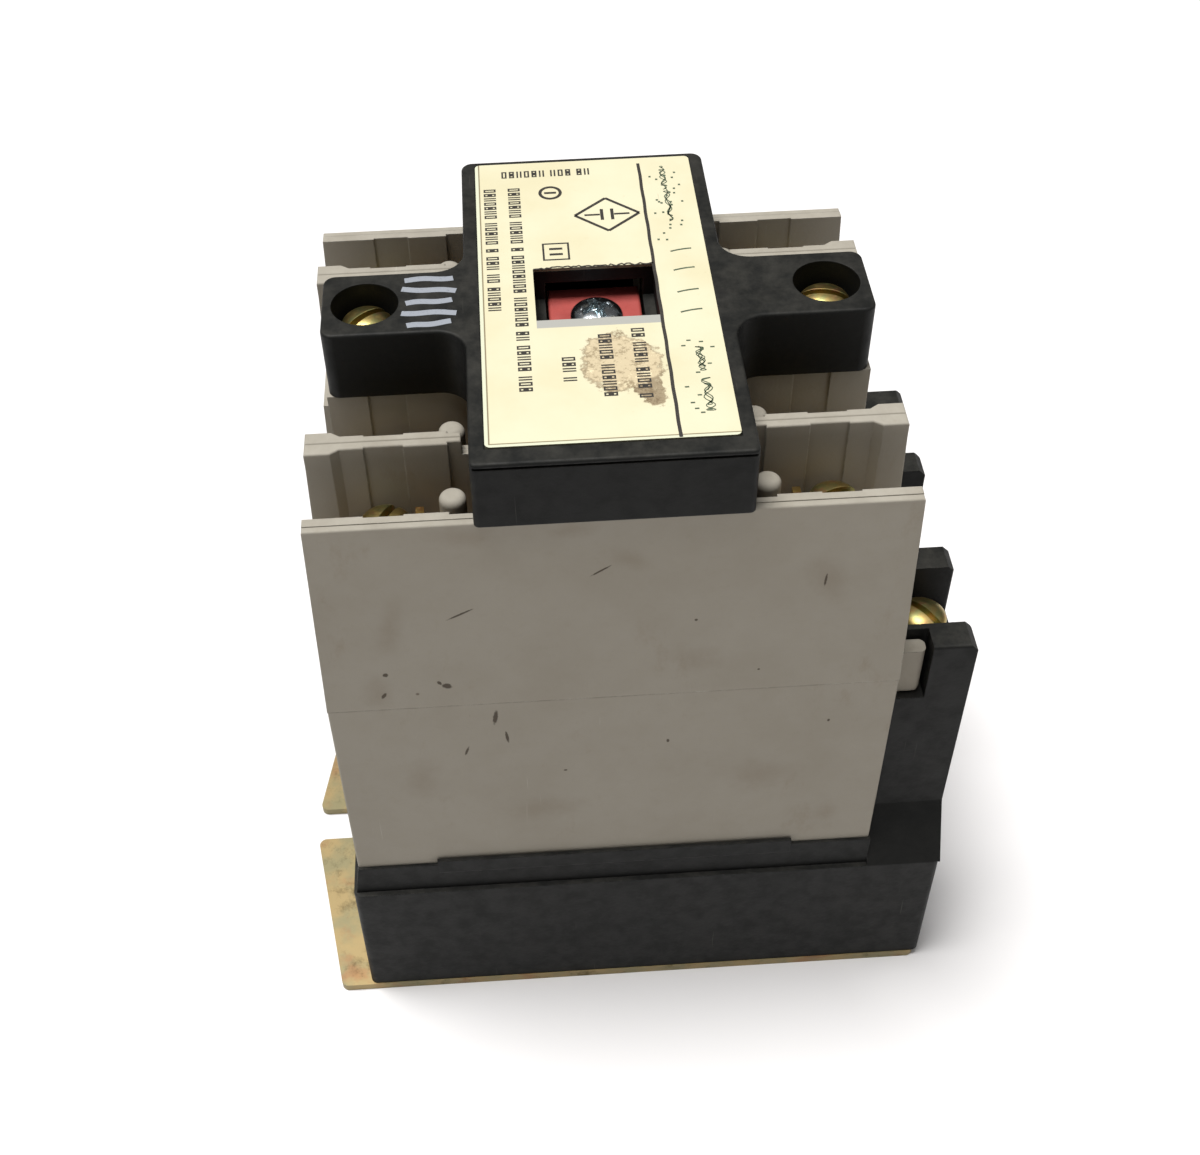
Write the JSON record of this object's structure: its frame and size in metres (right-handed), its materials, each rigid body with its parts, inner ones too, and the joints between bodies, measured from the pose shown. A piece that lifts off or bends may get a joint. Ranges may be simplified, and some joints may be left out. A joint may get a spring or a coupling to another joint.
{
  "type": "control relay",
  "caption": "Panel-mount magnetic control relay: black base with coil terminals, grey pole housings, cross-shaped cover and a spring-returned contact carrier.",
  "frame": {"origin": "on the underside of the mounting plate, on the vertical axis of the cover window", "axes": "+Z away from the mounting panel, +X towards the coil terminal column, +Y to the rear pole"},
  "size_m": [0.1142, 0.0742, 0.1302],
  "materials": {
    "zinc_plate": "yellow-chromate zinc-plated sheet steel",
    "black_moulding": "moulded black phenolic",
    "grey_moulding": "moulded grey thermoset",
    "label_card": "printed cream label",
    "chromate_screw": "yellow-chromate plated steel screw",
    "zinc_screw": "bright zinc plated steel",
    "red_moulding": "moulded red thermoplastic",
    "strap_brass": "stamped brass strip",
    "copper": "copper alloy strip",
    "silver_tip": "silver cadmium oxide contact",
    "laminated_steel": "laminated silicon steel",
    "plain_steel": "plain steel",
    "rubber_pad": "moulded rubber",
    "nylon_bobbin": "moulded nylon",
    "coil_wrap": "varnished tape over enamelled wire",
    "lead_sleeve": "sleeved lead",
    "carrier_moulding": "moulded brown phenolic",
    "spring_steel": "spring wire"
  },
  "bodies": {
    "frame_and_magnet": {"mounting_plate": "zinc_plate", "base_housing": "black_moulding", "lower_housing": "grey_moulding", "front_end_plate": "grey_moulding", "rear_end_plate": "grey_moulding", "centre_column": "grey_moulding", "cover": "black_moulding", "label_plate": "label_card", "fixed_contact_tips": "silver_tip", "saddle_clamps": "strap_brass", "pole_terminal_screws": "chromate_screw", "cover_screws": "chromate_screw", "coil_terminal_straps": "strap_brass", "coil_saddle_clamps": "strap_brass", "coil_terminal_screws": "chromate_screw", "coil_leads": "lead_sleeve", "core_cushions": "rubber_pad", "magnet_core": "laminated_steel", "core_rivets": "plain_steel", "shading_rings": "copper", "coil_bobbin": "nylon_bobbin", "coil_winding": "coil_wrap", "housing_screws": "zinc_screw", "plate_screws": "zinc_screw", "pole_housing_1": "grey_moulding", "terminal_strap_1_left": "strap_brass", "terminal_strap_1_right": "strap_brass", "pole_housing_2": "grey_moulding", "terminal_strap_2_left": "strap_brass", "terminal_strap_2_right": "strap_brass", "pole_housing_3": "grey_moulding", "terminal_strap_3_left": "strap_brass", "terminal_strap_3_right": "strap_brass", "pole_housing_4": "grey_moulding", "terminal_strap_4_left": "strap_brass", "terminal_strap_4_right": "strap_brass", "return_spring_front": "spring_steel", "return_spring_rear": "spring_steel"},
    "carrier": {"armature": "laminated_steel", "armature_pin": "plain_steel", "crosshead": "carrier_moulding", "plunger": "red_moulding", "plunger_screw": "zinc_screw", "contact_spring_1": "spring_steel", "contact_spring_2": "spring_steel", "contact_spring_3": "spring_steel", "contact_spring_4": "spring_steel"},
    "bridge_1": {"contact_bridge_1": "copper", "moving_tips_1": "silver_tip"},
    "bridge_2": {"contact_bridge_2": "copper", "moving_tips_2": "silver_tip"},
    "bridge_3": {"contact_bridge_3": "copper", "moving_tips_3": "silver_tip"},
    "bridge_4": {"contact_bridge_4": "copper", "moving_tips_4": "silver_tip"}
  },
  "joints": [
    {"name": "carrier_travel", "type": "slide", "parent": "frame_and_magnet", "child": "carrier", "axis": [0, 0, -1], "range_m": [0, 0.0055], "stiffness_N_per_m": 600, "springref_m": -0.012, "deforming": ["return_spring_front", "return_spring_rear"]},
    {"name": "bridge_1_overtravel", "type": "slide", "parent": "carrier", "child": "bridge_1", "axis": [0, 0, 1], "range_m": [0, 0.0015], "deforming": ["contact_spring_1"]},
    {"name": "bridge_2_overtravel", "type": "slide", "parent": "carrier", "child": "bridge_2", "axis": [0, 0, 1], "range_m": [0, 0.0015], "deforming": ["contact_spring_2"]},
    {"name": "bridge_3_overtravel", "type": "slide", "parent": "carrier", "child": "bridge_3", "axis": [0, 0, 1], "range_m": [0, 0.0015], "deforming": ["contact_spring_3"]},
    {"name": "bridge_4_overtravel", "type": "slide", "parent": "carrier", "child": "bridge_4", "axis": [0, 0, 1], "range_m": [0, 0.0015], "deforming": ["contact_spring_4"]}
  ],
  "couplings": [
    {"joint": "bridge_1_overtravel", "follows": "carrier_travel", "ratio": 0.2727},
    {"joint": "bridge_2_overtravel", "follows": "carrier_travel", "ratio": 0.2727},
    {"joint": "bridge_3_overtravel", "follows": "carrier_travel", "ratio": 0.2727},
    {"joint": "bridge_4_overtravel", "follows": "carrier_travel", "ratio": 0.2727}
  ]
}
